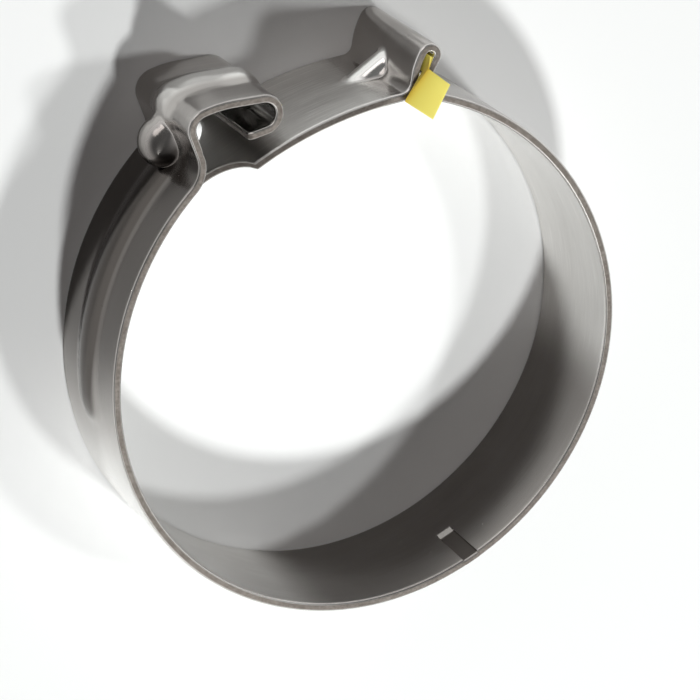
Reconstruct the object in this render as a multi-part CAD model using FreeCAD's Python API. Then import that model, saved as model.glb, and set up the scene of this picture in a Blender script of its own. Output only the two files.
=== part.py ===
import FreeCAD, Part
import math
import os

# Snap-lock hose clamp in its open state: one strip of spring steel, folded into a ring with a hook at
# one end, and an ear and a tongue at the other. The bore's axis is Z, the back edge of the strip lies
# on z = 0, and the closure is at -Y. Angles are degrees round Z from +X, counter-clockwise. Bends are
# given by their inside radius, which is the one on the hollow side, and by how far they turn the strip.

# The strip
strip_width = 15.0
strip_thickness = 1.0

# The open ring: the arc that seats on the hose, and at each end an arm whose radius is slacker by so much
seat_radius = 30.0
seat_start_angle = 74.0
seat_sweep_angle = 119.0
hook_arm_slack = 2.0
hook_arm_sweep_angle = 119.5
ear_arm_slack = 3.0
ear_arm_sweep_angle = 58.3

# The hook, from the end of its arm out to the lip
hook_base_inside = 3.2
hook_base_turn = 65.0
hook_rise = 2.45
shoulder_inside = 1.4
shoulder_turn = 92.4
crown_inside = 12.0
crown_turn = 17.0
crown_flat = 3.5
nose_inside = 1.35
nose_turn = 169.0
lip_length = 2.35
lip_corner = 0.8

# The folded ear, from the end of its arm to the foot where the tongue starts
ear_base_inside = 1.9
ear_base_turn = 102.0
ear_wall = 1.3
ear_gap = 0.9
ear_head_turn = 180.0
ear_lean_inside = 7.6
ear_lean_turn = 22.0
ear_side = 0.5
ear_foot_inside = 1.2

# The tongue, which bridges the closure and ends inside the hook's arm
tongue_touch_angle = 296.0
tongue_clearance = 0.05
tongue_full_angle = 299.0
tongue_neck_angle = 310.0
tongue_tip_angle = 323.0
tongue_tip_width = 5.0
tongue_tip_corner = 1.6

# Forms pressed into the middle of the strip: channel, rib, knob and gusset
bead_width = 5.2
channel_height = 0.6
channel_length = 28.5
rib_height = 0.6
rib_runout_angle = 120.0
rib_sink_angle = 10.0
knob_radius = 3.0
knob_rim_radius = 2.1
knob_offset = 0.8
gusset_radius = 1.5
gusset_reach = 1.75
gusset_skew_angle = -10.0
gusset_wall_side = 6.0
gusset_tongue_side = 9.0

# Recess stamped into the inner face of the seat's front half
recess_angle = 114.5
recess_width = 2.1
recess_depth = 0.25
recess_length = 7.0
recess_ramp_length = 0.9

# Tag: its leg stands in the ear's gap, and its flap is bent out in front of the strip's front edge
tag_thickness = 0.3
tag_clearance = 0.15
tag_leg_length = 1.9
tag_leg_depth = 7.0
tag_front_gap = 0.3
flap_skew_angle = -10.5
flap_tilt_angle = 23.0
flap_root = 3.85
flap_overlap = 0.6
flap_near_reach = 2.95
flap_far_reach = 3.7
flap_far_setback = 0.25

# Values worked out from the ones above
half_thickness = strip_thickness / 2
hook_arm_radius = seat_radius + hook_arm_slack
ear_arm_radius = seat_radius + ear_arm_slack
middle = strip_width / 2
tool_margin = 0.2
up = FreeCAD.Vector(0, 0, 1)
quarter_turn = 90
half_turn = 180
full_turn = 360


def ahead(heading):
    """Unit vector along a heading in degrees."""
    return FreeCAD.Vector(math.cos(math.radians(heading)), math.sin(math.radians(heading)), 0)


def left_of(heading):
    """Unit vector to the left of a heading in degrees."""
    return ahead(heading + quarter_turn)


class Span:
    """A straight or tangent bend of the strip's mid-line, in the plane across the bore's axis."""

    def __init__(self, start, heading, length, turn=0.0):
        self.start = start
        self.heading = heading
        self.length = length
        self.turn = turn

    def radius(self):
        """Mid-line radius: positive where the span turns left, negative where it turns right."""
        return self.length / math.radians(self.turn)

    def centre(self):
        """Centre of the bend."""
        return self.start + left_of(self.heading) * self.radius()

    def heading_at(self, share):
        """Heading at a share of the span."""
        return self.heading + self.turn * share

    def point(self, share, offset=0.0, z=0.0):
        """Point at a share of the span, offset to the left of the mid-line and raised to z."""
        side = left_of(self.heading_at(share))
        if self.turn:
            base = self.centre() - side * self.radius()
        else:
            base = self.start + ahead(self.heading) * (self.length * share)
        return base + side * offset + up * z

    def edge(self, offset, first=0, last=1):
        """The span's line at an offset from the mid-line, from one end to the other."""
        start = self.point(first, offset)
        end = self.point(last, offset)
        if self.turn:
            return Part.Arc(start, self.point(0.5, offset), end).toShape()
        return Part.makeLine(start, end)

    def onward(self, length, turn=0.0):
        """The span that follows on from this one's end."""
        return Span(self.point(1), self.heading_at(1), length, turn)

    def piece(self, length):
        """The first part of the span."""
        return Span(self.start, self.heading, length, self.turn * length / self.length)

    def reversed(self):
        """The same stretch, followed the other way."""
        return Span(self.point(1), self.heading_at(1) + half_turn, self.length, -self.turn)


def bend(inside, turn):
    """Mid-line length and turn of a bend."""
    return (inside + half_thickness) * math.radians(abs(turn)), turn


def straight(length):
    """Mid-line length and turn of a straight."""
    return length, 0.0


def follow(first, moves):
    """Spans from a first one on, one for each straight or bend."""
    spans = [first]
    for length, turn in moves:
        spans.append(spans[-1].onward(length, turn))
    return spans


def outline(spans, right, left):
    """Flat face between two offsets of a row of spans."""
    edges = [span.edge(left) for span in spans]
    edges.append(Part.makeLine(spans[-1].point(1, left), spans[-1].point(1, right)))
    edges += [span.edge(right, 1, 0) for span in reversed(spans)]
    edges.append(Part.makeLine(spans[0].point(0, right), spans[0].point(0, left)))
    return Part.Face(Part.Wire(edges))


def sheet(spans, width=strip_width):
    """The strip along a row of spans, centred on its middle line."""
    face = outline(spans, -half_thickness, half_thickness)
    face.translate(up * (middle - width / 2))
    return face.extrude(up * width)


def round_end(plate, span, width, corner):
    """Plate with the two corners at the end of its span rounded."""
    ends = [span.point(1, 0, middle - width / 2), span.point(1, 0, middle + width / 2)]
    corners = [edge for edge in plate.Edges
               if any(edge.CenterOfMass.distanceToPoint(end) < half_thickness / 2 for end in ends)]
    return plate.makeFillet(corner, corners)


def outside_of(spans, side, reach):
    """Block beyond the mid-line of a row of spans, on their left (side 1) or right (side -1)."""
    first = spans[0].point(0)
    last = spans[-1].point(1)
    away = up.cross(last - first).normalize() * (side * reach)
    edges = [span.edge(0.0) for span in spans]
    edges.append(Part.makeLine(last, last + away))
    edges.append(Part.makeLine(last + away, first + away))
    edges.append(Part.makeLine(first + away, first))
    return Part.Face(Part.Wire(edges)).extrude(up * strip_width)


def ring_spans():
    """Mid-line of the open ring, from the hook's base round to the ear's. Its outside is on the right."""
    arm_mid = hook_arm_radius + half_thickness
    arm_centre = ahead(seat_start_angle) * (seat_radius - hook_arm_radius)
    arm_start = seat_start_angle - hook_arm_sweep_angle
    arm_end = arm_centre + ahead(arm_start) * arm_mid
    arm = Span(arm_end, arm_start + quarter_turn, *bend(hook_arm_radius, hook_arm_sweep_angle))
    return follow(arm, [bend(seat_radius, seat_sweep_angle), bend(ear_arm_radius, ear_arm_sweep_angle)])


def hook_spans(ring):
    """Mid-line of the hook, from its base out to the lip's end. Its outside is on the left."""
    base = Span(ring[0].start, ring[0].heading + half_turn, *bend(hook_base_inside, hook_base_turn))
    return follow(base, [
        straight(hook_rise),
        bend(shoulder_inside, -shoulder_turn),
        bend(crown_inside, -crown_turn),
        straight(crown_flat),
        bend(nose_inside, -nose_turn),
        straight(lip_length)])


def ear_spans(ring):
    """Mid-line of the ear, from its base over its head. Its outside is on the right."""
    base = ring[-1].onward(*bend(ear_base_inside, -ear_base_turn))
    return follow(base, [
        straight(ear_wall),
        bend(ear_gap / 2, ear_head_turn),
        bend(ear_lean_inside, ear_lean_turn),
        straight(ear_side)])


class Tongue:
    """Arc of the tongue, tangent to the ear's foot bend and just clear of the bore at its nearest."""

    def __init__(self, ear_end):
        foot_mid = ear_foot_inside + half_thickness
        nearest = seat_radius + tongue_clearance
        down = ahead(tongue_touch_angle)
        foot_centre = ear_end.point(1) - left_of(ear_end.heading) * foot_mid
        reach = nearest + half_thickness + foot_mid
        rise = foot_centre.dot(foot_centre) - reach ** 2
        setback = rise / (2 * (reach - foot_centre.dot(down)))
        spoke = foot_centre + down * setback
        self.centre = down * -setback
        self.mid = nearest + setback + half_thickness
        self.start = math.degrees(math.atan2(spoke.y, spoke.x))
        turn = (ear_end.heading - self.start - quarter_turn) % full_turn
        self.foot = ear_end.onward(foot_mid * math.radians(turn), -turn)

    def bearing(self, angle):
        """Direction, from the tongue's centre, of the mid-line point at an angle round the bore."""
        along = self.centre.dot(ahead(angle))
        reach = along + math.sqrt(along ** 2 - self.centre.dot(self.centre) + self.mid ** 2)
        spoke = ahead(angle) * reach - self.centre
        return math.degrees(math.atan2(spoke.y, spoke.x))

    def span(self, start, end):
        """Mid-line between two directions from the tongue's centre."""
        turn = (end - start) % full_turn
        heading = start + quarter_turn
        return Span(self.centre + ahead(start) * self.mid, heading, self.mid * math.radians(turn), turn)


def bead_profile(height, reverse):
    """Radius of a bead's round, and how far its crest, foot and root stand off the mid-line."""
    radius = ((bead_width / 2) ** 2 + height ** 2) / (2 * height)
    crest = height + half_thickness
    foot = half_thickness
    if reverse:
        return radius - strip_thickness, crest - strip_thickness, -foot, -foot - tool_margin
    return radius, crest, foot, foot / 2


def bead_section(span, side, height, reverse):
    """Section of a pressed bead at a span's start: its raised face, or the hollow on the reverse."""
    radius, crest, foot, root = bead_profile(height, reverse)
    half = math.sqrt(radius ** 2 - (radius - crest + foot) ** 2)
    back_foot = span.point(0, side * foot, middle - half)
    front_foot = span.point(0, side * foot, middle + half)
    back_root = span.point(0, side * root, middle - half)
    front_root = span.point(0, side * root, middle + half)
    edges = [
        Part.Arc(back_foot, span.point(0, side * crest, middle), front_foot).toShape(),
        Part.makeLine(front_foot, front_root),
        Part.makeLine(front_root, back_root),
        Part.makeLine(back_root, back_foot)]
    return Part.Face(Part.Wire(edges))


def bead_along(span, side, height, reverse):
    """Pressed bead along one span."""
    face = bead_section(span, side, height, reverse)
    if span.turn:
        return face.revolve(span.centre(), up, span.turn)
    return face.extrude(ahead(span.heading) * span.length)


def channel(ring, reverse):
    """Channel along the hook's arm, with a round end. The tongue slides in its hollow side."""
    run = ring[0].piece(channel_length)
    radius, crest, foot, root = bead_profile(channel_height, reverse)
    rim = outline([ring[0]], -bead_width, -root).extrude(up * strip_width)
    end = Part.makeSphere(radius, run.point(1, radius - crest, middle))
    return bead_along(run, -1, channel_height, reverse).fuse(end.common(rim))


def rib(hook, reverse):
    """Rib from the channel up the hook and over its crown, running out round the nose."""
    nose = hook[5]
    sink = rib_height / (1 - math.cos(math.radians(rib_runout_angle)))
    axis = nose.centre() + left_of(nose.heading) * sink
    runout = -rib_runout_angle - rib_sink_angle
    solid = bead_section(nose, 1, rib_height, reverse).revolve(axis, up, runout)
    for span in hook[:5]:
        solid = solid.fuse(bead_along(span, 1, rib_height, reverse))
    return solid


def disc(centre, hub, rim):
    """Disc that stands on its edge in the middle of the strip, with a fully rounded rim round a hub."""
    back = centre + ahead(0) * hub - up * rim
    front = centre + ahead(0) * hub + up * rim
    edges = [
        Part.Arc(back, centre + ahead(0) * (hub + rim), front).toShape(),
        Part.makeLine(front, centre + up * rim),
        Part.makeLine(centre + up * rim, centre - up * rim),
        Part.makeLine(centre - up * rim, back)]
    return Part.Face(Part.Wire(edges)).revolve(centre, up, full_turn)


def slot(centre, heading, hub, rim, depth):
    """Round-ended slot from a disc's middle into the strip, as wide and long as the disc."""
    first = centre - ahead(heading) * hub
    last = centre + ahead(heading) * hub
    edges = [
        Part.makeLine(first - up * rim, last - up * rim),
        Part.Arc(last - up * rim, last + ahead(heading) * rim, last + up * rim).toShape(),
        Part.makeLine(last + up * rim, first + up * rim),
        Part.Arc(first + up * rim, first - ahead(heading) * rim, first - up * rim).toShape()]
    return Part.Face(Part.Wire(edges)).extrude(left_of(heading) * -depth)


def knob(ring, hook, reverse):
    """Round knob pressed into the hollow side of the hook's base bend."""
    rise = hook[1]
    centre = rise.point(0, half_thickness + knob_offset, middle)
    hub = knob_radius - knob_rim_radius
    if reverse:
        rim = knob_rim_radius - strip_thickness
        depth = knob_offset + strip_thickness + tool_margin
        return disc(centre, hub, rim).fuse(slot(centre, rise.heading, hub, rim, depth))
    lead = ring[0].piece(2 * knob_radius).reversed()
    return disc(centre, hub, knob_rim_radius).common(outside_of([lead] + hook[:2], 1, 4 * knob_radius))


def gusset(ear_side, foot, reverse):
    """Gusset across the ear's foot: a round ridge from the leaning wall down to the tongue."""
    heading = foot.heading_at(0.5) + gusset_skew_angle
    radius = gusset_radius - strip_thickness if reverse else gusset_radius
    depth = half_thickness + gusset_reach - gusset_radius
    axis_point = foot.point(0.5, 0, middle) - left_of(heading) * depth
    start = axis_point - ahead(heading) * gusset_wall_side
    length = gusset_wall_side + gusset_tongue_side
    bar = Part.makeCylinder(radius, length, start, ahead(heading))
    if reverse:
        corner = start - up * radius
        rise = left_of(heading) * (depth + half_thickness + tool_margin)
        sides = [corner, corner + up * (2 * radius), corner + up * (2 * radius) + rise, corner + rise]
        groove = Part.Face(Part.makePolygon(sides + sides[:1])).extrude(ahead(heading) * length)
        return bar.fuse(groove)
    return bar.common(outside_of(ear_side, -1, gusset_tongue_side))


def recess(seat):
    """Recess from the seat's front edge inwards, with a sloping inner end."""
    share = (recess_angle - seat_start_angle) / seat_sweep_angle
    floor = half_thickness - recess_depth
    above = half_thickness + tool_margin
    front = strip_width + tool_margin
    inner_end = strip_width - recess_length
    corners = [
        seat.point(share, floor, front),
        seat.point(share, floor, inner_end + recess_ramp_length),
        seat.point(share, above, inner_end - recess_ramp_length * tool_margin / recess_depth),
        seat.point(share, above, front)]
    across = ahead(seat.heading_at(share)) * recess_width
    side = Part.Face(Part.makePolygon(corners + corners[:1]))
    side.translate(across * -0.5)
    return side.extrude(across)


def press(body, forms):
    """Sheet with forms pressed into it: each form's raised side added, then its reverse hollowed."""
    for form in forms:
        body = body.fuse(form(False))
    for form in forms:
        body = body.cut(form(True))
    return body


def build_ring(ring, hook):
    """The ring with its hook, the channel, rib and knob pressed into them, and the seat's recess."""
    lip = hook[-1]
    lip_plate = round_end(sheet([lip]), lip, strip_width, lip_corner)
    body = sheet(ring).fuse(sheet(hook[:-1])).fuse(lip_plate)
    pressed = press(body, [
        lambda reverse: channel(ring, reverse),
        lambda reverse: rib(hook, reverse),
        lambda reverse: knob(ring, hook, reverse)])
    return pressed.cut(recess(ring[1]))


def build_tongue_end(tongue):
    """End of the tongue: round shoulders that narrow it to a slim tip with rounded corners."""
    neck = tongue.bearing(tongue_neck_angle)
    shoulder = tongue.span(tongue.bearing(tongue_full_angle), neck)
    tip = tongue.span(neck, tongue.bearing(tongue_tip_angle))
    drop = (strip_width - tongue_tip_width) / 2
    round_radius = (shoulder.length ** 2 + drop ** 2) / (2 * drop)
    axis = left_of(shoulder.heading_at(1))
    body = sheet([shoulder])
    for side in (-1, 1):
        height = middle + side * (tongue_tip_width / 2 + round_radius)
        base = shoulder.point(1, -2 * strip_thickness, height)
        body = body.cut(Part.makeCylinder(round_radius, 4 * strip_thickness, base, axis))
    plate = sheet([tip], tongue_tip_width)
    return body.fuse(round_end(plate, tip, tongue_tip_width, tongue_tip_corner))


def build_ear_and_tongue(ear, tongue):
    """The folded ear with the gusset at its foot, and the tongue."""
    bridge = tongue.span(tongue.start, tongue.bearing(tongue_full_angle))
    near_side = ear[-2:] + [tongue.foot, bridge]
    body = press(sheet(near_side), [lambda reverse: gusset(near_side, tongue.foot, reverse)])
    return body.fuse(sheet(ear[:-2])).fuse(build_tongue_end(tongue))


def build_tag(ear):
    """Tag: a leg beside the ear's wall, and a flap bent forwards along a slanting line."""
    wall = ear[1]
    offset = half_thickness + tag_clearance + tag_thickness / 2
    leg = Span(wall.point(1, offset), wall.heading + half_turn, tag_leg_length)
    front = strip_width + tag_front_gap
    leg_plate = outline([leg], -tag_thickness / 2, tag_thickness / 2)
    leg_plate.translate(up * (strip_width - tag_leg_depth))
    leg_solid = leg_plate.extrude(up * (tag_leg_depth + tag_front_gap + tag_thickness))
    along = ahead(leg.heading + flap_skew_angle)
    rising = left_of(leg.heading + flap_skew_angle) * math.cos(math.radians(flap_tilt_angle))
    rising += up * math.sin(math.radians(flap_tilt_angle))
    root = leg.point(1, 0, front)
    corners = [
        root - along * flap_overlap,
        root + along * flap_root,
        root + along * (flap_root - flap_far_setback) + rising * flap_far_reach,
        root - along * flap_overlap + rising * flap_near_reach]
    flap = Part.Face(Part.makePolygon(corners + corners[:1]))
    return leg_solid.fuse(flap.extrude(along.cross(rising) * tag_thickness)).removeSplitter()


def main():
    """Write each piece to its own file."""
    os.makedirs("parts", exist_ok=True)
    ring = ring_spans()
    hook = hook_spans(ring)
    ear = ear_spans(ring)
    band = build_ring(ring, hook).fuse(build_ear_and_tongue(ear, Tongue(ear[-1]))).removeSplitter()
    band.exportStep("parts/clamp_band.step")
    build_tag(ear).exportStep("parts/yellow_tag.step")


main()
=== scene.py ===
import math

import bmesh
import bpy
import numpy as np
from bpy.props import FloatProperty, FloatVectorProperty, PointerProperty
from mathutils import Matrix, Vector


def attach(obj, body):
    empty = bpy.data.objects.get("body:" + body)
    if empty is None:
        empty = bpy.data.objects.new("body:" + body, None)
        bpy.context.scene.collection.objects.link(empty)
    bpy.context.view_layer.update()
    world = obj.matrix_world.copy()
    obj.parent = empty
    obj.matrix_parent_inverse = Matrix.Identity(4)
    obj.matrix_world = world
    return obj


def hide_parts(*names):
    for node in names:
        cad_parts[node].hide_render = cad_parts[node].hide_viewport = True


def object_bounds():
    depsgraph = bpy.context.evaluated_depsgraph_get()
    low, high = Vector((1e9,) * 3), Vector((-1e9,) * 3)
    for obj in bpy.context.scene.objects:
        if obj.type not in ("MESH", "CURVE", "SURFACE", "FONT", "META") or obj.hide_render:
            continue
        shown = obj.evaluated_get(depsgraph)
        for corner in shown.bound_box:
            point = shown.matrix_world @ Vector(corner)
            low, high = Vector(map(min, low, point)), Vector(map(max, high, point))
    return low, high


bl_info = {
    "name": "Snap-lock hose clamp",
    "version": (1, 0, 0),
    "blender": (4, 5, 0),
    "location": "3D View > Sidebar > Hose clamp",
    "description": "Spring-steel snap-lock hose clamp in its open state, with its tag, stage and camera",
    "category": "Object",
}

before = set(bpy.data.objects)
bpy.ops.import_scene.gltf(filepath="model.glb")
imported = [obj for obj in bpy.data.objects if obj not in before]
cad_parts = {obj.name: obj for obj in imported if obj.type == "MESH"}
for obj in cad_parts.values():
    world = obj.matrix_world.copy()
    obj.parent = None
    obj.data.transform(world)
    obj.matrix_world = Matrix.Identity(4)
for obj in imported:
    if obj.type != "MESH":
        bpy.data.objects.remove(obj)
cad_low, cad_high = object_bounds()

# The clamp lies on its back edge: the bore's axis is Z and the closure is at -Y. The strip is followed
# from the lip's end, over the hook, round the ring and over the ear to the tongue's tip. On that way its
# outside is always on the right. Lengths are in metres and angles in radians where nothing else is said.

# Millimetres in a metre: the numbers that the finishes read from a mesh are in mm
MM = 1000

# Run of the recess's steep side walls along the strip
RECESS_WALL = 0.00008

# The knob is raised on rays from a point this far behind its centre, this near to the hook's base
KNOB_BACK = 0.0022
KNOB_ZONE = 0.007
# The gusset is raised on rays from a point this far behind the foot, up to this far beyond it
GUSSET_BACK = 0.0015
GUSSET_ZONE = 0.009
# Least share of such a ray that leads towards the ridge
LEAST_RISE = 0.05
# How much softer the knob and gusset meet the strip than the channel and rib do
FORM_CREASE = 2.5

# Rows of the strip's mesh: widest step and turn from one to the next, shortest span that gets rows, and
# the slack with which a distance along the strip is found in its stretch
ROW_STEP = 0.0014
ROW_TURN = math.radians(7)
SHORTEST_SPAN = 1e-7
RUN_SLACK = 1e-9
# Columns of the mesh from the strip's middle to each side: how far the close ones reach, which the
# pressed forms need, how many they are, how many follow, and the last step before the rounded edge
FORM_REACH = 0.0034
FORM_COLUMNS = 18
SIDE_COLUMNS = 7
RIM_STEP = 0.0001
# Loops on the flat middle of a slit edge, as shares of the strip's thickness
EDGE_FLAT = (0.34, 0.66)

# Points along and across the tag's flap, rows of its leg, and how far the last two are from the front edge
FLAP_POINTS = 13
LEG_ROWS = 9
LEG_ENDS = (0.0004, 0.0001)
# How far the tag's flap is cupped, and how fast the painted shade at its fold fades along it
FLAP_CUP = 0.00012
FOLD_FADE = 7.0
# Rounding of the tag's edges, as a share of its thickness
TAG_ROUND = 0.3

# Zones of painted sheen, highlight and shade along the strip, and where the ear, tongue and tip start: start
# and end of each change, in mm from the lip's end
RIB_HIGHLIGHT_END = (14.0, 18.0)
HOOK_SHADE_END = (18.0, 30.0)
CHANNEL_SHADE_START = (18.0, 24.0)
ARM_SHADE_START = (18.0, 23.0)
ARM_SHADE_END = (44.0, 57.0)
ARM_SHEEN_START = (52.0, 66.0)
ARM_SHEEN_END = (92.0, 112.0)
SEAT_SHADE_START = (89.0, 97.0)
SEAT_SHADE_END = (138.0, 147.0)
EAR_START = (190.0, 194.0)
TONGUE_START = (205.0, 208.0)
TIP_START = (220.0, 222.0)

# Half of the floor's width, and how far it lies below the clamp
FLOOR_REACH = 4.0
FLOOR_DROP = 0.00002
# Shares of the way up over which the dim studio and the backdrop that is seen change tone
DIM_RISE = (0.0, 0.6)
BACKDROP_RISE = (0.12, 0.80)
# Distance from the clamp's middle to each lamp
LAMP_DISTANCE = 2.0
# Azimuth in degrees of each key light, and its share of their power
KEY_LIGHTS = ((86, 0.52), (132, 0.30), (175, 0.18))
# The camera, fitted to the photograph: its place, and the directions to its right and behind it
CAMERA_PLACE = (0.15042, -0.15247, 0.31395)
CAMERA_RIGHT = (-0.8975, 0.0, 0.4410)
CAMERA_BACK = (0.4022, -0.4102, 0.8185)


def length_property(name, description, default):
    """Length in metres that a user may change."""
    return FloatProperty(name=name, description=description, default=default, unit="LENGTH", precision=5)


def angle_property(name, description, default):
    """Angle that a user may change, given in degrees."""
    return FloatProperty(
        name=name, description=description, default=math.radians(default), subtype="ANGLE", unit="ROTATION")


def colour_property(name, description, default):
    """Linear colour that a user may change."""
    return FloatVectorProperty(
        name=name, description=description, default=default, subtype="COLOR", size=3, min=0.0, max=1.0)


def level_property(name, description, default, subtype="NONE"):
    """Plain number that a user may change, such as a light's level."""
    return FloatProperty(name=name, description=description, default=default, subtype=subtype)


class ClampRingSizes(bpy.types.PropertyGroup):
    """Sizes of the strip and of the open ring."""

    width: length_property("Strip width", "Width of the steel strip", 0.015)
    thickness: length_property("Strip thickness", "Gauge of the steel strip", 0.001)
    edge_round: length_property("Edge round", "Radius of the strip's slit edges", 0.00028)
    seat_radius: length_property("Seat radius", "Inside radius of the arc that seats on the hose", 0.030)
    seat_start: angle_property("Seat start", "Angle round the bore at which the seat starts", 74.0)
    seat_sweep: angle_property("Seat sweep", "Angle that the seat covers", 119.0)
    hook_arm_slack: length_property("Hook arm slack", "How much slacker the hook's arm is", 0.002)
    hook_arm_sweep: angle_property("Hook arm sweep", "Angle that the hook's arm turns", 119.5)
    ear_arm_slack: length_property("Ear arm slack", "How much slacker the ear's arm is", 0.003)
    ear_arm_sweep: angle_property("Ear arm sweep", "Angle that the ear's arm turns", 58.3)


class ClampHookSizes(bpy.types.PropertyGroup):
    """Sizes of the hook, with its rib and knob."""

    base_inside: length_property("Base bend", "Inside radius of the bend at the hook's base", 0.0032)
    base_turn: angle_property("Base turn", "Turn of the bend at the hook's base", 65.0)
    rise: length_property("Rise", "Straight part above the base", 0.00245)
    shoulder_inside: length_property("Shoulder bend", "Inside radius of the shoulder", 0.0014)
    shoulder_turn: angle_property("Shoulder turn", "Turn of the shoulder", 92.4)
    crown_inside: length_property("Crown bend", "Inside radius of the crown", 0.012)
    crown_turn: angle_property("Crown turn", "Turn of the crown", 17.0)
    crown_flat: length_property("Crown flat", "Straight part of the crown", 0.0035)
    nose_inside: length_property("Nose bend", "Inside radius of the nose", 0.00135)
    nose_turn: angle_property("Nose turn", "Turn of the nose", 169.0)
    lip: length_property("Lip", "Length of the lip under the crown", 0.00235)
    lip_corner: length_property("Lip corner", "Corner radius of the lip's end", 0.0008)
    rib_runout: angle_property("Rib run-out", "Turn of the nose over which the rib sinks", 120.0)
    knob_radius: length_property("Knob radius", "Outside radius of the knob", 0.0030)
    knob_rim: length_property("Knob rim", "Radius of the knob's rounded rim", 0.0021)
    knob_offset: length_property("Knob offset", "Distance of the knob's centre from the strip", 0.0008)


class ClampEarSizes(bpy.types.PropertyGroup):
    """Sizes of the folded ear, with its gusset, and of the tongue."""

    base_inside: length_property("Base bend", "Inside radius of the bend at the ear's base", 0.0019)
    base_turn: angle_property("Base turn", "Turn of the bend at the ear's base", 102.0)
    wall: length_property("Wall", "Straight part of the ear's outer wall", 0.0013)
    gap: length_property("Gap", "Gap inside the folded ear", 0.0009)
    head_turn: angle_property("Head turn", "Turn of the ear's head", 180.0)
    lean_inside: length_property("Lean bend", "Inside radius of the leaning wall", 0.0076)
    lean_turn: angle_property("Lean turn", "Turn of the leaning wall", 22.0)
    side: length_property("Side", "Straight part above the foot", 0.0005)
    foot_inside: length_property("Foot bend", "Inside radius of the ear's foot", 0.0012)
    touch_angle: angle_property("Touch angle", "Angle at which the tongue is nearest the bore", 296.0)
    clearance: length_property("Clearance", "Gap between the tongue and the bore", 0.00005)
    full_angle: angle_property("Full width until", "Angle where the tongue starts to narrow", 299.0)
    neck_angle: angle_property("Neck angle", "Angle where the tongue is at its slimmest", 310.0)
    tip_angle: angle_property("Tip angle", "Angle of the tongue's tip", 323.0)
    tip_width: length_property("Tip width", "Width of the tongue's tip", 0.005)
    tip_corner: length_property("Tip corner", "Corner radius of the tongue's tip", 0.0016)
    gusset_radius: length_property("Gusset radius", "Outside radius of the gusset's ridge", 0.0015)
    gusset_reach: length_property("Gusset reach", "Height of the gusset over the foot", 0.00175)
    gusset_skew: angle_property("Gusset skew", "Turn of the gusset away from the foot's middle", -10.0)


class ClampPressedSizes(bpy.types.PropertyGroup):
    """Sizes of the channel and rib, and of the recess."""

    bead_width: length_property("Bead width", "Width of the channel and of the rib", 0.0052)
    bead_height: length_property("Bead height", "Height of the channel and of the rib", 0.0006)
    channel_length: length_property("Channel length", "Length of the channel along the arm", 0.0285)
    crease: length_property("Crease", "How softly a pressed form meets the strip", 0.0004)
    recess_angle: angle_property("Recess angle", "Angle of the recess round the bore", 114.5)
    recess_width: length_property("Recess width", "Width of the recess", 0.0021)
    recess_depth: length_property("Recess depth", "Depth of the recess", 0.00025)
    recess_length: length_property("Recess length", "Length of the recess from the front edge", 0.007)
    recess_ramp: length_property("Recess ramp", "Length of the recess's sloping inner end", 0.0009)


class ClampTagSizes(bpy.types.PropertyGroup):
    """Sizes of the tag that stands in the ear's gap."""

    thickness: length_property("Thickness", "Thickness of the tag", 0.0003)
    clearance: length_property("Clearance", "Gap between the tag and the ear's wall", 0.00015)
    leg: length_property("Leg", "Length of the leg beside the wall", 0.0019)
    depth: length_property("Depth", "How far the leg reaches into the gap", 0.007)
    front_gap: length_property("Front gap", "Gap between the strip's edge and the flap", 0.0003)
    skew: angle_property("Flap skew", "Slant of the line at which the flap bends", -10.5)
    tilt: angle_property("Flap tilt", "Forward tilt of the flap", 23.0)
    root: length_property("Flap root", "Length of the flap's root beyond the leg", 0.00385)
    overlap: length_property("Flap overlap", "Length of the flap's root beside the leg", 0.0006)
    near_reach: length_property("Near side", "Length of the flap's side near the ear", 0.00295)
    far_reach: length_property("Far side", "Length of the flap's far side", 0.0037)
    setback: length_property("Setback", "How much the flap narrows at its far side", 0.00025)


class ClampColours(bpy.types.PropertyGroup):
    """Colours of the finishes and the floor."""

    steel_dark: colour_property("Steel, dark", "Darker tone of the rolled steel", (0.36, 0.335, 0.32))
    steel_light: colour_property("Steel, light", "Lighter tone of the rolled steel", (0.54, 0.52, 0.50))
    # Painted sheen: the light tone laid where light falls on the rib, gusset, arm and inside, and on the
    # tongue over its real scuffs
    sheen_and_wear_tone: colour_property("Steel, bright", "Tone where the steel is burnished", (0.90, 0.89, 0.865))
    # Painted shade: the dark tone laid on the channel, the recess, the arm's first part, the seat, the
    # hook's inside and the tongue's tip
    painted_shade_tone: colour_property("Pressed steel", "Tone where the steel was pressed hard", (0.105, 0.094, 0.087))
    slit_dark: colour_property("Slit edge, dark", "Darker tone of the slit edges", (0.10, 0.086, 0.077))
    slit_light: colour_property("Slit edge, light", "Lighter tone of the slit edges", (0.205, 0.185, 0.168))
    tag_body: colour_property("Tag", "Colour of the tag", (1.0, 0.87, 0.18))
    # Painted shade: the deeper orange laid along the tag's fold, where it stands against the ear
    tag_fold_shade: colour_property("Tag fold", "Deeper colour at the tag's fold", (0.95, 0.62, 0.03))
    floor: colour_property("Floor", "Colour of the floor", (0.90, 0.90, 0.90))


class ClampStage(bpy.types.PropertyGroup):
    """Light levels, the extent of the shadowed floor and the camera's lens."""

    lens: level_property("Lens", "Focal length in mm on a 36 mm sensor", 166.02)
    key: level_property("Key lights", "Power of the key lights", 51.5, "POWER")
    front: level_property("Front light", "Power of the front softbox", 4.2, "POWER")
    horizon: level_property("Horizon", "Brightness of the studio at the horizon", 0.03)
    zenith: level_property("Zenith", "Brightness of the studio overhead", 0.01)
    backdrop: level_property("Backdrop", "Brightness of the backdrop that is seen", 1.0)
    ceiling: level_property("Ceiling", "Brightness of the ceiling that is mirrored", 0.15)
    floor_near: length_property("Shadow floor", "Radius up to which the floor shows its own light", 0.14)
    floor_far: length_property("White floor", "Radius from which the floor is seen as white backdrop", 0.30)


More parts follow.
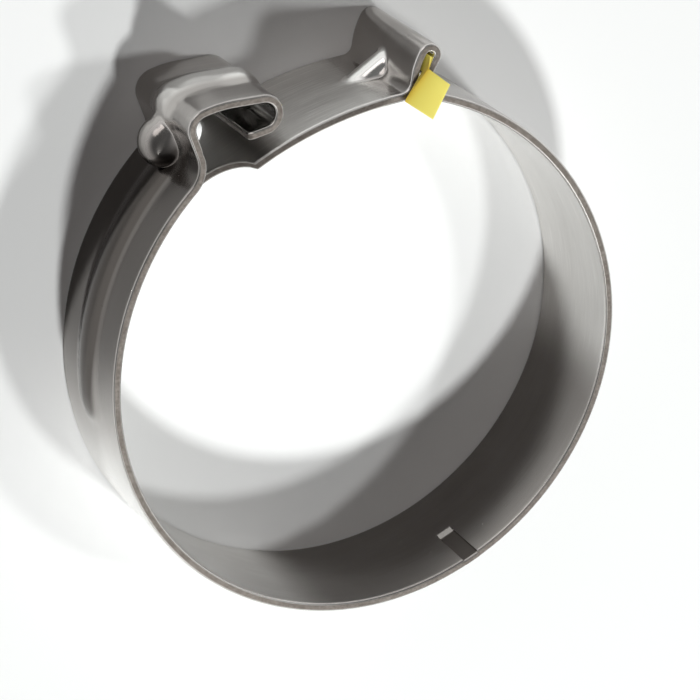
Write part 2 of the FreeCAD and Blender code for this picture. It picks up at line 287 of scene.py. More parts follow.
class Stretch:
    """A straight or a bend of the strip's mid-line, seen along the bore's axis."""

    def __init__(self, start, heading, length, turn=0.0):
        self.start = np.asarray(start, float)
        self.heading = heading
        self.length = length
        self.turn = turn

    def at(self, run):
        """Points and headings at distances along the stretch."""
        run = np.atleast_1d(np.asarray(run, float))
        heading = self.heading + self.turn * run / self.length
        if self.turn:
            radius = self.length / self.turn
            centre = self.start + left_of(self.heading) * radius
            return centre - left_of(heading) * radius, heading
        return self.start + run[:, None] * ahead(self.heading), heading

    def onward(self, length, turn=0.0):
        """The stretch that follows on from this one's end."""
        points, headings = self.at(self.length)
        return Stretch(points[0], headings[0], length, turn)

    def turned_back(self):
        """The same stretch, followed the other way."""
        points, headings = self.at(self.length)
        return Stretch(points[0], headings[0] + math.pi, self.length, -self.turn)


def ahead(heading):
    """Unit vectors along headings."""
    return np.stack([np.cos(heading), np.sin(heading)], -1)


def left_of(heading):
    """Unit vectors to the left of headings."""
    return np.stack([-np.sin(heading), np.cos(heading)], -1)


def bend(inside, turn, thickness):
    """Mid-line length and turn of a bend."""
    return (inside + thickness / 2) * abs(turn), turn


def chain(name, stretch, moves):
    """A named stretch and those that follow on from it, from the length and turn of each."""
    pieces = [(name, stretch)]
    for name, move in moves.items():
        pieces.append((name, pieces[-1][1].onward(*move)))
    return pieces


class StripLine:
    """The whole mid-line of the strip, and where each of its stretches starts along it."""

    def __init__(self, scene):
        ring, hook, ear = scene.clamp_ring, scene.clamp_hook, scene.clamp_ear
        self.ring, self.hook, self.ear = ring, hook, ear
        gauge = ring.thickness
        arm_inside = ring.seat_radius + ring.hook_arm_slack
        start_angle = ring.seat_start - ring.hook_arm_sweep
        arm_centre = ahead(ring.seat_start) * -ring.hook_arm_slack
        arm_start = arm_centre + ahead(start_angle) * (arm_inside + gauge / 2)
        arm = Stretch(arm_start, start_angle + math.pi / 2, *bend(arm_inside, ring.hook_arm_sweep, gauge))
        base = Stretch(arm_start, arm.heading + math.pi, *bend(hook.base_inside, hook.base_turn, gauge))
        outward = chain("base", base, {
            "rise": (hook.rise, 0.0),
            "shoulder": bend(hook.shoulder_inside, -hook.shoulder_turn, gauge),
            "crown": bend(hook.crown_inside, -hook.crown_turn, gauge),
            "flat": (hook.crown_flat, 0.0),
            "nose": bend(hook.nose_inside, -hook.nose_turn, gauge),
            "lip": (hook.lip, 0.0)})
        onward = chain("arm", arm, {
            "seat": bend(ring.seat_radius, ring.seat_sweep, gauge),
            "ear_arm": bend(ring.seat_radius + ring.ear_arm_slack, ring.ear_arm_sweep, gauge),
            "ear_base": bend(ear.base_inside, -ear.base_turn, gauge),
            "wall": (ear.wall, 0.0),
            "head": bend(ear.gap / 2, ear.head_turn, gauge),
            "lean": bend(ear.lean_inside, ear.lean_turn, gauge),
            "side": (ear.side, 0.0)})
        onward += self.tongue(onward[-1][1])
        self.stretches = [(name, piece.turned_back()) for name, piece in reversed(outward)] + onward
        self.starts = {}
        self.length = 0.0
        for name, piece in self.stretches:
            self.starts[name] = self.length
            self.length += piece.length

    def tongue(self, side):
        """Foot bend and arc of the tongue, which is just clear of the bore at its nearest."""
        ring, ear = self.ring, self.ear
        half = ring.thickness / 2
        foot_mid = ear.foot_inside + half
        nearest = ring.seat_radius + ear.clearance
        down = ahead(ear.touch_angle)
        side_end, side_heading = (value[0] for value in side.at(side.length))
        foot_centre = side_end - left_of(side_heading) * foot_mid
        reach = nearest + half + foot_mid
        setback = (foot_centre @ foot_centre - reach ** 2) / (2 * (reach - foot_centre @ down))
        spoke = foot_centre + down * setback
        self.tongue_centre = down * -setback
        self.tongue_mid = nearest + setback + half
        self.tongue_start = math.atan2(spoke[1], spoke[0])
        turn = (side_heading - self.tongue_start - math.pi / 2) % math.tau
        foot = side.onward(foot_mid * turn, -turn)
        sweep = (self.bearing(ear.tip_angle) - self.tongue_start) % math.tau
        return [("foot", foot), ("tongue", foot.onward(self.tongue_mid * sweep, sweep))]

    def bearing(self, angle):
        """Direction, from the tongue's centre, of its mid-line at an angle round the bore."""
        centre = self.tongue_centre
        along = centre @ ahead(angle)
        reach = along + math.sqrt(along ** 2 - centre @ centre + self.tongue_mid ** 2)
        spoke = ahead(angle) * reach - centre
        return math.atan2(spoke[1], spoke[0])

    def tongue_run(self, angle):
        """Distance along the strip of the tongue's mid-line at an angle round the bore."""
        sweep = (self.bearing(angle) - self.tongue_start) % math.tau
        return self.starts["tongue"] + self.tongue_mid * sweep

    def recess_run(self, pressed):
        """Distance along the strip of the recess's middle."""
        mid = self.ring.seat_radius + self.ring.thickness / 2
        return self.starts["seat"] + (pressed.recess_angle - self.ring.seat_start) * mid

    def at(self, runs):
        """Points and headings at distances along the strip."""
        points = np.zeros((len(runs), 2))
        headings = np.zeros(len(runs))
        for name, piece in self.stretches:
            start = self.starts[name]
            here = (runs >= start - RUN_SLACK) & (runs <= start + piece.length + RUN_SLACK)
            if here.any():
                points[here], headings[here] = piece.at(np.clip(runs[here] - start, 0, piece.length))
        return points, headings

    def spot(self, run):
        """Point and heading at one distance along the strip."""
        points, headings = self.at(np.array([run]))
        return points[0], headings[0]

    def stations(self, fine):
        """Distances at which the mesh has a row: closer on tight bends and in the fine zones."""
        breaks = {*self.starts.values(), self.length}
        for low, high, _ in fine:
            breaks.update((max(low, 0.0), min(high, self.length)))
        breaks = sorted(breaks)
        rows = [0.0]
        for low, high in zip(breaks, breaks[1:]):
            if high - low < SHORTEST_SPAN:
                continue
            centre = (low + high) / 2
            step = ROW_STEP
            for name, piece in self.stretches:
                if self.starts[name] <= centre <= self.starts[name] + piece.length and piece.turn:
                    step = min(step, abs(piece.length / piece.turn) * ROW_TURN)
            for zone_low, zone_high, zone_step in fine:
                if zone_low <= centre <= zone_high:
                    step = min(step, zone_step)
            count = max(1, math.ceil((high - low) / step))
            rows += list(np.linspace(low, high, count + 1)[1:])
        return np.array(rows)


def soft_max(first, second, width):
    """The larger of two values, rounded over a width where they meet."""
    near = np.maximum(width - np.abs(first - second), 0) / width
    return np.maximum(first, second) + near ** 2 * width / 4


def dome(radius, reach):
    """Height of a round over its own centre, at a distance from its axis."""
    return np.sqrt(np.maximum(radius ** 2 - reach ** 2, 0))


def rays(origin, points):
    """Directions and distances of points from an origin."""
    toward = points - origin
    distance = np.linalg.norm(toward, axis=-1)
    return toward / distance[..., None], distance


class StripSkin:
    """Points of the strip's faces at a height above its mid-line, with everything pressed into it."""

    def __init__(self, line, pressed, runs, across):
        self.line = line
        self.pressed = pressed
        self.runs = runs
        self.across = across
        self.half = line.ring.thickness / 2
        self.points, headings = line.at(runs)
        self.out = -left_of(headings)

    def beads(self, offset):
        """Height of the channel and rib over the mid-line, for a face at an offset from it."""
        pressed, line, hook, half = self.pressed, self.line, self.line.hook, self.half
        radius = ((pressed.bead_width / 2) ** 2 + pressed.bead_height ** 2) / (2 * pressed.bead_height)
        depth = radius - pressed.bead_height - half
        channel_end = line.starts["arm"] + pressed.channel_length
        beyond = np.maximum(self.runs - channel_end, 0)
        nose_end = line.starts["flat"]
        turned = np.clip((nose_end - self.runs) / (hook.nose_inside + half), 0, hook.nose_turn)
        sink = pressed.bead_height / (1 - math.cos(hook.rib_runout)) * (1 - np.cos(turned))
        reach = np.hypot(self.across, beyond[:, None])
        return dome(radius - half + offset, reach) - depth - sink[:, None]

    def recess(self):
        """Depth of the recess at each point of the inner face."""
        pressed = self.pressed
        inner_end = self.line.ring.width / 2 - pressed.recess_length
        aside = np.abs(self.runs - self.line.recess_run(pressed))[:, None]
        between_walls = np.clip((pressed.recess_width / 2 - aside) / RECESS_WALL, 0, 1)
        down_ramp = np.clip((self.across - inner_end) / pressed.recess_ramp, 0, 1)
        return pressed.recess_depth * between_walls * down_ramp

    def face(self, offset):
        """Points of the face at an offset from the mid-line, with everything pressed into it."""
        height = soft_max(offset, self.beads(offset), self.pressed.crease)
        if offset < 0:
            height = height + self.recess()
        flat = self.points[:, None, :] + self.out[:, None, :] * height[..., None]
        return self.push_gusset(self.push_knob(flat, offset), offset)

    def push_knob(self, flat, offset):
        """Face pushed out to the knob, on lines from a point behind it."""
        line, hook, half = self.line, self.line.hook, self.half
        base = line.starts["base"]
        point, heading = line.spot(base)
        outward = -left_of(heading)
        centre = point + outward * (half + hook.knob_offset)
        origin = centre - outward * KNOB_BACK
        near = (np.abs(self.runs - base) < KNOB_ZONE)[:, None]
        toward, distance = rays(origin, flat)
        along = toward @ (centre - origin)
        rim = hook.knob_rim - half + offset
        section = hook.knob_radius - hook.knob_rim + dome(rim, self.across)
        inside = along ** 2 - (centre - origin) @ (centre - origin) + section ** 2
        shown = (inside > 0) & (np.abs(self.across) < rim) & near
        hit = np.where(shown, along + np.sqrt(np.maximum(inside, 0)), 0)
        return self.pushed_out(origin, toward, distance, hit)

    def push_gusset(self, flat, offset):
        """Face pushed out to the gusset's ridge, on lines from a point behind the foot."""
        line, ear, half = self.line, self.line.ear, self.half
        foot_end = line.starts["tongue"]
        point, heading = line.spot((line.starts["foot"] + foot_end) / 2)
        outward = -left_of(heading + ear.gusset_skew)
        origin = point - outward * GUSSET_BACK
        near = ((self.runs > line.starts["lean"]) & (self.runs < foot_end + GUSSET_ZONE))[:, None]
        toward, distance = rays(origin, flat)
        rising = toward @ outward
        axis_height = half + ear.gusset_reach - ear.gusset_radius
        ridge_radius = ear.gusset_radius - half + offset
        ridge = GUSSET_BACK + axis_height + dome(ridge_radius, self.across)
        shown = (rising > LEAST_RISE) & (np.abs(self.across) < ridge_radius) & near
        hit = np.where(shown, ridge / np.maximum(rising, LEAST_RISE), 0)
        return self.pushed_out(origin, toward, distance, hit)

    def pushed_out(self, origin, toward, distance, hit):
        """Points moved out on their rays to a form, with a soft crease where it meets the strip."""
        reach = soft_max(distance, hit, self.pressed.crease * FORM_CREASE)
        return origin + toward * reach[..., None]


def column_places(half_width, edge_round):
    """Places across the strip, as distances from its middle: closer in the middle and at the edges."""
    rim = half_width - edge_round
    inner = np.linspace(0, FORM_REACH, FORM_COLUMNS)
    outer = np.linspace(FORM_REACH, rim - 3 * RIM_STEP, SIDE_COLUMNS)[1:]
    positive = np.concatenate([inner, outer, [rim - RIM_STEP, rim]])
    return np.concatenate([-positive[:0:-1], positive])


def rounded_off(distance, radius):
    """How much a rounded corner takes away at a distance from its end."""
    return radius - dome(radius, radius - np.minimum(distance, radius))


def half_widths(line, runs):
    """Half of the strip's width along it: full, but rounded at the lip and drawn in at the tongue."""
    ring, ear = line.ring, line.ear
    widths = ring.width / 2 - rounded_off(runs, line.hook.lip_corner)
    full = line.tongue_run(ear.full_angle)
    neck = line.tongue_run(ear.neck_angle)
    drop = (ring.width - ear.tip_width) / 2
    shoulder = ((neck - full) ** 2 + drop ** 2) / (2 * drop)
    drawn = ear.tip_width / 2 + shoulder - dome(shoulder, np.clip(neck - runs, 0, neck - full))
    return np.where(runs > full, drawn, widths) - rounded_off(line.length - runs, ear.tip_corner)


def new_mesh(name, points, faces, attributes):
    """Mesh of points and faces, with the numbers on its points that the finishes read."""
    mesh = bpy.data.meshes.new(name)
    mesh.from_pydata(points.reshape(-1, 3).tolist(), [], faces)
    for key, values in attributes.items():
        attribute = mesh.attributes.new(key, "FLOAT", "POINT")
        attribute.data.foreach_set("value", np.asarray(values, np.float32).ravel())
    return mesh


def new_object(name, data):
    """Object of the scene that holds a mesh, a lamp or a camera."""
    made = bpy.data.objects.new(name, data)
    bpy.context.scene.collection.objects.link(made)
    return made


def fine_zones(line, pressed):
    """Zones along the strip whose rows lie closer: start, end and widest step of each."""
    starts, ear, corner = line.starts, line.ear, line.ring.edge_round
    channel_end = starts["arm"] + pressed.channel_length
    recess = line.recess_run(pressed)
    recess_half = pressed.recess_width / 2
    return [
        # Rounded end of the lip, and its corners
        (0.0, corner, corner / 4),
        (0.0, line.hook.lip_corner, 0.0001),
        # Knob
        (starts["base"] - 0.006, starts["arm"] + 0.005, 0.00022),
        # End of the channel
        (channel_end - 0.0005, channel_end + 0.0028, 0.0003),
        # Side walls of the recess
        (recess - recess_half - 0.0002, recess - recess_half + 0.0003, RECESS_WALL / 4),
        (recess + recess_half - 0.0003, recess + recess_half + 0.0002, RECESS_WALL / 4),
        # Gusset
        (starts["foot"] - 0.0045, starts["tongue"] + 0.007, 0.00018),
        # Narrowing of the tongue, its corners and its rounded end
        (line.tongue_run(ear.full_angle), line.tongue_run(ear.neck_angle), 0.0004),
        (line.length - ear.tip_corner, line.length, 0.00016),
        (line.length - corner, line.length, corner / 4)]


def edge_steps(edge_round, thickness):
    """Steps from the outer face round an edge to the inner one: share of the thickness, and reach."""
    # Each rounded corner has a point every 30 degrees
    arc = np.radians([30.0, 60.0, 90.0])
    corner_share = (edge_round - edge_round * np.cos(arc)) / thickness
    corner = [(share, edge_round * math.sin(angle)) for share, angle in zip(corner_share, arc)]
    flat = [(share, edge_round) for share in EDGE_FLAT]
    return corner + flat + [(1 - share, reach) for share, reach in reversed(corner)]


def edge_loops(outer, inner, height, steps):
    """Points of an edge, step by step, from the face points and height at its column."""
    points = []
    for share, reach in steps:
        flat = outer + (inner - outer) * share
        points.append(np.concatenate([flat, height[:, None] + reach], -1))
    return np.stack(points, 1)


def around(outer, front, inner, back):
    """Values on every loop round the strip: outer face, front edge, inner face turned round, back edge."""
    return np.concatenate([outer, front, inner[:, ::-1], back], 1)


def strip_faces(rows, columns, count):
    """Faces from each loop to the next, and the two caps, for edges with a count of points each."""
    size = 2 * (columns + count)
    index = np.arange(rows * size).reshape(rows, size)
    onward = np.roll(index, -1, axis=1)
    faces = np.stack([index[:-1], onward[:-1], onward[1:], index[1:]], -1).reshape(-1, 4).tolist()
    for row, flip in ((0, False), (rows - 1, True)):
        loop = index[row].tolist()
        outer = loop[:columns]
        inner = loop[columns + count:2 * columns + count][::-1]
        caps = [[outer[j], outer[j + 1], inner[j + 1], inner[j]] for j in range(columns - 1)]
        caps.append([outer[-1], *loop[columns:columns + count], inner[-1]])
        caps.append([inner[0], *loop[2 * columns + count:], outer[0]])
        faces += [cap[::-1] if flip else cap for cap in caps]
    return faces


def strip_mesh(line, pressed):
    """Mesh of the whole strip: loops round it, joined from the lip's end to the tongue's tip."""
    ring = line.ring
    corner = ring.edge_round
    runs = line.stations(fine_zones(line, pressed))
    from_end = np.minimum(runs, line.length - runs)
    # Where the strip is narrower, its columns are drawn in with its edge
    scale = (half_widths(line, runs) - corner) / (ring.width / 2 - corner)
    across = column_places(ring.width / 2, corner)[None, :] * scale[:, None]
    height = across + ring.width / 2
    skin = StripSkin(line, pressed, runs, across)
    outer = skin.face(skin.half)
    inner = skin.face(-skin.half)
    bare = skin.points[:, None, :] + skin.out[:, None, :] * skin.half
    relief = np.linalg.norm(outer - bare, axis=-1)
    depth_share = skin.recess() / pressed.recess_depth
    # The strip is thinner on each face at its rounded ends
    thin = (rounded_off(from_end, corner) / ring.thickness)[:, None, None]
    outer, inner = outer + (inner - outer) * thin, inner + (outer - inner) * thin

    steps = edge_steps(corner, ring.thickness)
    back_steps = [(share, -reach) for share, reach in reversed(steps)]
    loops = around(
        np.concatenate([outer, height[..., None]], -1),
        edge_loops(outer[:, -1], inner[:, -1], height[:, -1], steps),
        np.concatenate([inner, height[..., None]], -1),
        edge_loops(outer[:, 0], inner[:, 0], height[:, 0], back_steps))
    rows, columns = across.shape
    face = np.zeros((rows, columns))
    slit = np.zeros((rows, len(steps)))
    # The mask of the slit edges fades in over their first two loops on each side
    slit_mask = slit + np.array([0.3, 0.75] + [1.0] * (len(steps) - 4) + [0.75, 0.3])
    end_mask = np.clip(1 - from_end / corner, 0, 1)[:, None]
    return new_mesh("clamp_strip", loops, strip_faces(rows, columns, len(steps)), {
        "along": np.repeat(runs[:, None], loops.shape[1], 1) * MM,
        "across": around(height, slit + ring.width, height, slit) * MM,
        "edge": np.maximum(around(face, slit_mask, face, slit_mask), end_mask),
        "side": around(face + 1, slit, face - 1, slit),
        "relief": around(relief, slit, relief, slit) * MM,
        "stamp": around(face, slit, depth_share, slit)})


def place(name, mesh, node, material):
    """Object that stands for a node and takes its finish from a slot."""
    work = bmesh.new()
    work.from_mesh(mesh)
    bmesh.ops.recalc_face_normals(work, faces=work.faces)
    for face in work.faces:
        face.smooth = True
    work.to_mesh(mesh)
    work.free()
    mesh.materials.append(material)
    piece = new_object(name, mesh)
    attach(piece, "root")
    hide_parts(node)
    return piece


class Value:
    """Number that varies over a surface. Arithmetic on it adds Math nodes."""

    def __init__(self, nodes, socket):
        self.nodes = nodes
        self.socket = socket

    def join(self, operation, *values, clamp=False):
        """Result of one Math node on this value and others."""
        settings = {"operation": operation, "use_clamp": clamp}
        return self.nodes.value("ShaderNodeMath", settings, dict(enumerate((self, *values))))

    def __add__(self, other):
        return self.join("ADD", other)

    __radd__ = __add__

    def __sub__(self, other):
        return self.join("SUBTRACT", other)

    def __rsub__(self, other):
        return self.nodes.value("ShaderNodeMath", {"operation": "SUBTRACT"}, {0: other, 1: self})

    def __mul__(self, other):
        return self.join("MULTIPLY", other)

    __rmul__ = __mul__

    def clamped(self):
        """The value held between 0 and 1."""
        return self.join("ADD", 0.0, clamp=True)

    def between(self, low, high):
        """0 below low, 1 above high, and smooth between them."""
        settings = {"interpolation_type": "SMOOTHSTEP"}
        inputs = {"Value": self, "From Min": low, "From Max": high}
        return self.nodes.value("ShaderNodeMapRange", settings, inputs)

    def within(self, start, end):
        """1 between two zones and 0 beyond them, and smooth over both."""
        return self.between(*start) * (1.0 - self.between(*end))


class Nodes:
    """Node tree of one finish, and the ways in which nodes are added to it."""

    def __init__(self, tree):
        self.tree = tree
        self.tree.nodes.clear()

    def add(self, kind, settings=None, inputs=None):
        """Node of a type, with its settings first and then the values or links of its sockets."""
        node = self.tree.nodes.new(kind)
        for name, setting in (settings or {}).items():
            setattr(node, name, setting)
        for name, given in (inputs or {}).items():
            socket = node.inputs[name]
            if isinstance(given, Value):
                self.tree.links.new(given.socket, socket)
            elif isinstance(given, bpy.types.NodeSocket):
                self.tree.links.new(given, socket)
            else:
                socket.default_value = given
        return node

    def value(self, kind, settings=None, inputs=None, output=0):
        """Output of a new node as a value."""
        return Value(self, self.add(kind, settings, inputs).outputs[output])

    def attribute(self, name):
        """Number that the mesh carries."""
        return self.value("ShaderNodeAttribute", {"attribute_name": name}, output="Fac")

    def point(self, x, y, z):
        """Place made of three values."""
        return self.add("ShaderNodeCombineXYZ", None, {"X": x, "Y": y, "Z": z}).outputs[0]

    def noise(self, place_socket, scale, detail, roughness):
        """Noise at a place, around 0.5."""
        inputs = {"Vector": place_socket, "Scale": scale, "Detail": detail, "Roughness": roughness}
        return self.value("ShaderNodeTexNoise", None, inputs)

    def place(self):
        """Place on the object, in metres."""
        return self.add("ShaderNodeTexCoord").outputs["Object"]

    def seen(self):
        """1 for what the camera sees, directly, in a mirror or through glass."""
        path = self.add("ShaderNodeLightPath")
        direct, mirrored, through = (Value(self, path.outputs[name]) for name in (
            "Is Camera Ray", "Is Glossy Ray", "Is Transmission Ray"))
        return (direct + mirrored + through).clamped()

    def mix(self, share, first, second):
        """Colour between two colours."""
        node = self.add("ShaderNodeMix", {"data_type": "RGBA"}, {0: share})
        for socket, given in ((node.inputs[6], first), (node.inputs[7], second)):
            if isinstance(given, bpy.types.NodeSocket):
                self.tree.links.new(given, socket)
            else:
                socket.default_value = (*given, 1.0)
        return node.outputs[2]

    def finish(self, tone, metallic, roughness, height, strength, depth):
        """Surface of a tone and a roughness, with bumps of a height that have a strength and a depth."""
        bump = self.add("ShaderNodeBump", None, {"Strength": strength, "Distance": depth, "Height": height})
        shader = self.add("ShaderNodeBsdfPrincipled", None, {
            "Base Color": tone,
            "Metallic": metallic,
            "Roughness": roughness.clamped(),
            "Normal": bump.outputs[0]})
        self.add("ShaderNodeOutputMaterial", None, {"Surface": shader.outputs[0]})


def new_material(name):
    """Material and its empty node tree."""
    material = bpy.data.materials.new(name)
    material.use_nodes = True
    return material, Nodes(material.node_tree)


def steel_finish(colours):
    """Cold-rolled spring steel: fine lines along the strip, stains, rough dark slit edges, and painted
    sheen, highlight and shade in zones along it.
    """
    material, nodes = new_material("rolled_spring_steel")
    along, across, edge, side, relief, recess = (nodes.attribute(name) for name in (
        "along", "across", "edge", "side", "relief", "stamp"))
    stamp = recess.between(0.80, 1.0)

    def grain(along_scale, across_scale, face_shift, detail, roughness):
        """Noise with scales per mm along and across the strip, shifted so that its faces differ."""
        spot = nodes.point(along * along_scale, across * across_scale, side * face_shift)
        return nodes.noise(spot, 1.0, detail, roughness)

    lines = grain(0.05, 6.0, 7.0, 4.0, 0.6)
    fine_lines = grain(0.25, 22.0, 3.0, 3.0, 0.6)
    stains = grain(0.09, 0.22, 5.0, 4.0, 0.55)
    specks = grain(2.2, 2.2, 9.0, 2.0, 0.5)
    streaks = grain(0.12, 9.0, 2.0, 3.0, 0.7).between(0.52, 0.70)
    place_socket = nodes.place()
    shear = nodes.noise(place_socket, 900.0, 4.0, 0.65)
    pits = nodes.noise(place_socket, 3200.0, 2.0, 0.5)

    outside = side * 0.5 + 0.5
    inside = 1.0 - outside
    past_ear = along.between(*EAR_START)
    scuffs_and_sheen = along.between(*TONGUE_START)
    slit_mask = edge.between(0.70, 0.98)

    # Plain rolled steel
    rolled_share = (lines * 0.7 + stains * 0.9 - 0.3).clamped()
    rolled = nodes.mix(rolled_share, colours.steel_dark, colours.steel_light)

    # Painted sheen and highlight: lighter tone where light falls on the rib and gusset, the arm's far part
    # and the inside apart from the seat, and on the tongue, partly for its real scuffs
    painted_ridge_highlight = (1.0 - along.between(*RIB_HIGHLIGHT_END) + past_ear) * relief.between(0.2, 0.6)
    painted_arm_sheen = outside * along.within(ARM_SHEEN_START, ARM_SHEEN_END)
    painted_seat_shade = inside * along.within(SEAT_SHADE_START, SEAT_SHADE_END)
    painted_sheen_and_wear = (scuffs_and_sheen * (0.6 + streaks) + painted_ridge_highlight + painted_arm_sheen * 0.8) * outside
    painted_sheen_and_wear = painted_sheen_and_wear + inside * (1.0 - painted_seat_shade) * (0.66 + streaks * 0.34)
    rolled = nodes.mix((painted_sheen_and_wear * (0.7 + stains * 0.6)).clamped(), rolled, colours.sheen_and_wear_tone)

    # Painted shade: the channel, the recess, the arm's first part, the seat, the hook's inside and the
    # tongue's tip are darkened where they lie in shade
    painted_channel_shade = relief.between(0.10, 0.45) * along.within(CHANNEL_SHADE_START, EAR_START) * outside
    painted_arm_shade = outside * along.within(ARM_SHADE_START, ARM_SHADE_END)
    painted_shelter_shade = inside * (1.0 - along.between(*HOOK_SHADE_END)) + along.between(*TIP_START)
    painted_shades = (painted_arm_shade * 0.84 + painted_seat_shade * 0.46 + painted_shelter_shade * 0.62) * (1.0 - slit_mask)
    # The recess's deep part gets the painted shade tone too
    rolled = nodes.mix((painted_channel_shade * 0.72 + stamp + painted_shades).clamped(), rolled, colours.painted_shade_tone)

    # Sheared edges
    slit_share = (shear * 0.6 + pits * 0.4).between(0.34, 0.72)
    slit = nodes.mix(slit_share, colours.slit_dark, colours.slit_light)
    tone = nodes.mix(slit_mask, rolled, slit)

    rolled_roughness = 0.10 + stains * 0.09 + lines * 0.06 + specks.between(0.62, 0.75) * 0.10
    rolled_roughness = rolled_roughness + scuffs_and_sheen * (0.06 + lines * 0.30) + stamp * 0.25
    roughness = rolled_roughness + slit_mask * (0.40 + shear * 0.15)
    surface = lines * 0.30 + fine_lines * 0.20 + specks * 0.08 + slit_mask * (shear + pits) * 0.8
    nodes.finish(tone, 1.0, roughness, surface, strength=0.22, depth=0.00006)
    return material


def tag_finish(colours):
    """Matte yellow plastic film, with painted shade along its fold."""
    material, nodes = new_material("yellow_film")
    place_socket = nodes.place()
    fold = nodes.attribute("fold")
    cloud = nodes.noise(place_socket, 450.0, 3.0, 0.5)
    grain = nodes.noise(place_socket, 4200.0, 2.0, 0.5)
    tone = nodes.mix((fold * 0.8 + cloud * 0.25 - 0.1).clamped(), colours.tag_body, colours.tag_fold_shade)
    nodes.finish(tone, 0.0, 0.42 + cloud * 0.15, cloud * 0.8 + grain * 0.2, strength=0.25, depth=0.00008)
    return material


def tag_mesh(line, sizes):
    """Mesh of the tag: a folded film, as a grid whose thickness a modifier gives."""
    ring = line.ring
    wall_end, wall_heading = line.spot(line.starts["head"])
    heading = wall_heading + math.pi
    offset = ring.thickness / 2 + sizes.clearance + sizes.thickness / 2
    top = wall_end + left_of(wall_heading) * offset
    front = ring.width + sizes.front_gap + sizes.thickness / 2
    slant = heading + sizes.skew
    root = np.array([*(top + ahead(heading) * sizes.leg), front])
    along = np.array([*ahead(slant), 0.0])
    rising = np.array([*(left_of(slant) * math.cos(sizes.tilt)), math.sin(sizes.tilt)])
    shares = np.linspace(0, 1, FLAP_POINTS)
    leg_start, leg_end, fold_start = ring.width - np.array([sizes.depth, *LEG_ENDS])
    rows = []
    folds = []
    flat = top + np.outer(shares * sizes.leg, ahead(heading))
    for z in (*np.linspace(leg_start, leg_end, LEG_ROWS), fold_start):
        rows.append(np.concatenate([flat, np.full((FLAP_POINTS, 1), z)], 1))
        folds.append(0.0)
    for share in shares:
        near = root - along * sizes.overlap + rising * sizes.near_reach * share
        far = root + along * (sizes.root - sizes.setback * share) + rising * sizes.far_reach * share
        # The film is slightly cupped between its fold and its free end
        cup = np.cross(along, rising) * FLAP_CUP * math.sin(math.pi * share)
        rows.append(near + (far - near) * shares[:, None] + cup)
        folds.append(math.exp(-share * FOLD_FADE))
    points = np.stack(rows)
    index = np.arange(len(rows) * FLAP_POINTS).reshape(-1, FLAP_POINTS)
    faces = np.stack([index[:-1, :-1], index[:-1, 1:], index[1:, 1:], index[1:, :-1]], -1).reshape(-1, 4)
    return new_mesh("tag_film", points, faces.tolist(), {
        "fold": np.repeat(np.array(folds)[:, None], FLAP_POINTS, 1)})


class CLAMP_OT_band(bpy.types.Operator):
    """Make the steel band with its hook, ear and tongue"""

    bl_idname = "clamp.make_band"
    bl_label = "Make the band"

    def execute(self, context):
        scene = context.scene
        mesh = strip_mesh(StripLine(scene), scene.clamp_pressed)
        place("steel_band", mesh, "clamp_band", steel_finish(scene.clamp_colours))
        return {"FINISHED"}


class CLAMP_OT_tag(bpy.types.Operator):
    """Make the yellow tag in the ear's gap"""

    bl_idname = "clamp.make_tag"
    bl_label = "Make the tag"

    def execute(self, context):
        scene = context.scene
        sizes = scene.clamp_tag
        mesh = tag_mesh(StripLine(scene), sizes)
        tag = place("tag_film", mesh, "yellow_tag", tag_finish(scene.clamp_colours))
        film = tag.modifiers.new("film", "SOLIDIFY")
        film.thickness = sizes.thickness
        film.offset = 0.0
        rounding = tag.modifiers.new("rounding", "BEVEL")
        rounding.width = sizes.thickness * TAG_ROUND
        rounding.segments = 2
        rounding.limit_method = "ANGLE"
        return {"FINISHED"}


def add_lamp(name, azimuth, elevation, size, power, tint):
    """Soft lamp that looks at the clamp's middle. Its angles are in degrees, with azimuth from +X."""
    azimuth, elevation = math.radians(azimuth), math.radians(elevation)
    lamp = bpy.data.lights.new(name, "AREA")
    lamp.shape = "ELLIPSE"
    lamp.size, lamp.size_y = size
    lamp.energy = power
    lamp.color = tint
    away = Vector((
        math.cos(azimuth) * math.cos(elevation),
        math.sin(azimuth) * math.cos(elevation),
        math.sin(elevation)))
    holder = new_object(name, lamp)
    holder.location = away * LAMP_DISTANCE
    holder.rotation_mode = "QUATERNION"
    holder.rotation_quaternion = away.to_track_quat("Z", "Y")


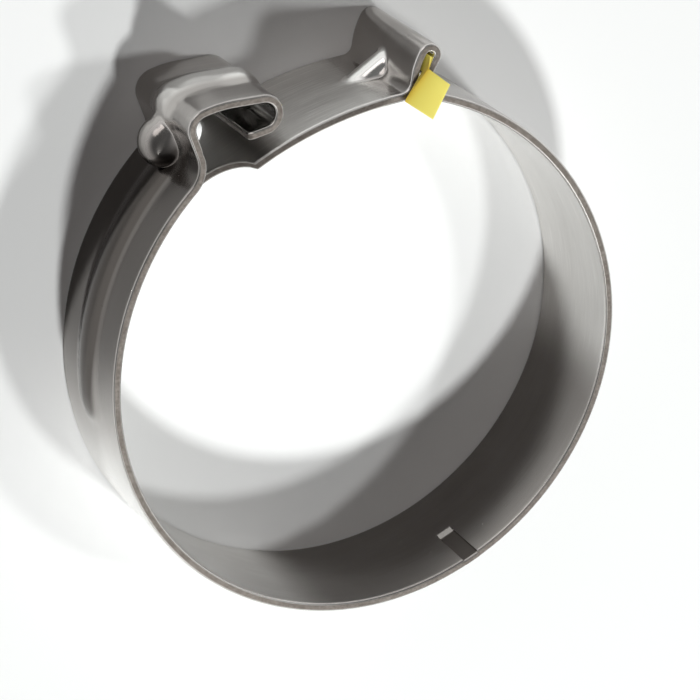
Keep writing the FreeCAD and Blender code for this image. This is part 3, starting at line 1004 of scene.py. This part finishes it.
class CLAMP_OT_stage(bpy.types.Operator):
    """Set up the floor, the studio light and the camera"""

    bl_idname = "clamp.make_stage"
    bl_label = "Set up the stage"

    def execute(self, context):
        scene = context.scene
        stage = scene.clamp_stage
        self.make_floor(scene, stage)
        self.make_studio(scene, stage)
        self.make_camera(scene, stage)
        scene.view_settings.view_transform = "Standard"
        return {"FINISHED"}

    def make_floor(self, scene, stage):
        """Wide pale floor, with the clamp's shadow near it and seen as white further away."""
        work = bmesh.new()
        bmesh.ops.create_grid(work, x_segments=8, y_segments=8, size=FLOOR_REACH)
        mesh = bpy.data.meshes.new("pale_floor")
        work.to_mesh(mesh)
        work.free()
        material, nodes = new_material("pale_floor")
        place_socket = nodes.place()
        radius = nodes.value("ShaderNodeVectorMath", {"operation": "LENGTH"}, {0: place_socket}, "Value")
        share = radius.between(stage.floor_near, stage.floor_far) * nodes.seen()
        shader = nodes.add("ShaderNodeBsdfDiffuse", None, {"Color": (*scene.clamp_colours.floor, 1.0)})
        white = nodes.add("ShaderNodeEmission")
        surface = nodes.add("ShaderNodeMixShader", None, {
            0: share, 1: shader.outputs[0], 2: white.outputs[0]})
        nodes.add("ShaderNodeOutputMaterial", None, {"Surface": surface.outputs[0]})
        mesh.materials.append(material)
        floor = new_object("pale_floor", mesh)
        floor.location = (0.0, 0.0, cad_low.z - FLOOR_DROP)

    def make_studio(self, scene, stage):
        """Dim studio with soft lamps, seen and mirrored as a white backdrop under a darker ceiling."""
        world = bpy.data.worlds.new("soft_studio")
        scene.world = world
        world.use_nodes = True
        nodes = Nodes(world.node_tree)
        direction = nodes.add("ShaderNodeTexCoord").outputs["Generated"]
        split = nodes.add("ShaderNodeSeparateXYZ", None, {"Vector": direction})
        height = Value(nodes, split.outputs["Z"])
        dim = nodes.mix(height.between(*DIM_RISE), (stage.horizon,) * 3, (stage.zenith,) * 3)
        backdrop = nodes.mix(height.between(*BACKDROP_RISE), (stage.backdrop,) * 3, (stage.ceiling,) * 3)
        tone = nodes.mix(nodes.seen(), dim, backdrop)
        background = nodes.add("ShaderNodeBackground", None, {"Color": tone})
        nodes.add("ShaderNodeOutputWorld", None, {"Surface": background.outputs[0]})
        for number, (azimuth, share) in enumerate(KEY_LIGHTS):
            add_lamp(
                f"key_light_{number}", azimuth, elevation=50, size=(0.20, 0.20),
                power=stage.key * share, tint=(0.98, 1.0, 0.99))
        add_lamp(
            "front_softbox", azimuth=-55, elevation=38, size=(1.25, 1.10),
            power=stage.front, tint=(1.0, 0.95, 0.93))

    def make_camera(self, scene, stage):
        """Camera at the photograph's viewing angle."""
        data = bpy.data.cameras.new("photo_camera")
        data.sensor_width = 36.0
        data.lens = stage.lens
        data.clip_start = 0.01
        data.clip_end = 20.0
        camera = new_object("photo_camera", data)
        back = Vector(CAMERA_BACK).normalized()
        up = back.cross(Vector(CAMERA_RIGHT).normalized()).normalized()
        turned = Matrix((up.cross(back), up, back)).transposed().to_4x4()
        camera.matrix_world = Matrix.Translation(CAMERA_PLACE) @ turned
        scene.camera = camera


class CLAMP_PT_panel(bpy.types.Panel):
    """Panel that lists the clamp's steps and sizes"""

    bl_idname = "CLAMP_PT_panel"
    bl_label = "Hose clamp"
    bl_space_type = "VIEW_3D"
    bl_region_type = "UI"
    bl_category = "Hose clamp"

    def draw(self, context):
        for operator in OPERATORS:
            self.layout.operator(operator.bl_idname)
        for name in GROUPS:
            group = getattr(context.scene, name)
            box = self.layout.box()
            box.label(text=name.replace("_", " "))
            for key in group.__annotations__:
                box.prop(group, key)


GROUPS = {
    "clamp_ring": ClampRingSizes,
    "clamp_hook": ClampHookSizes,
    "clamp_ear": ClampEarSizes,
    "clamp_pressed": ClampPressedSizes,
    "clamp_tag": ClampTagSizes,
    "clamp_colours": ClampColours,
    "clamp_stage": ClampStage,
}
OPERATORS = (CLAMP_OT_band, CLAMP_OT_tag, CLAMP_OT_stage)


def register():
    """Make the clamp's operators, panel and sizes known to Blender."""
    for entry in (*GROUPS.values(), *OPERATORS, CLAMP_PT_panel):
        bpy.utils.register_class(entry)
    for name, group in GROUPS.items():
        setattr(bpy.types.Scene, name, PointerProperty(type=group))


def unregister():
    """Take the clamp's operators, panel and sizes out of Blender again."""
    for name in GROUPS:
        delattr(bpy.types.Scene, name)
    for entry in (CLAMP_PT_panel, *reversed(OPERATORS), *reversed(GROUPS.values())):
        bpy.utils.unregister_class(entry)


def main():
    """Make every piece and the stage."""
    register()
    bpy.ops.clamp.make_band()
    bpy.ops.clamp.make_tag()
    bpy.ops.clamp.make_stage()


if __name__ == "__main__":
    main()
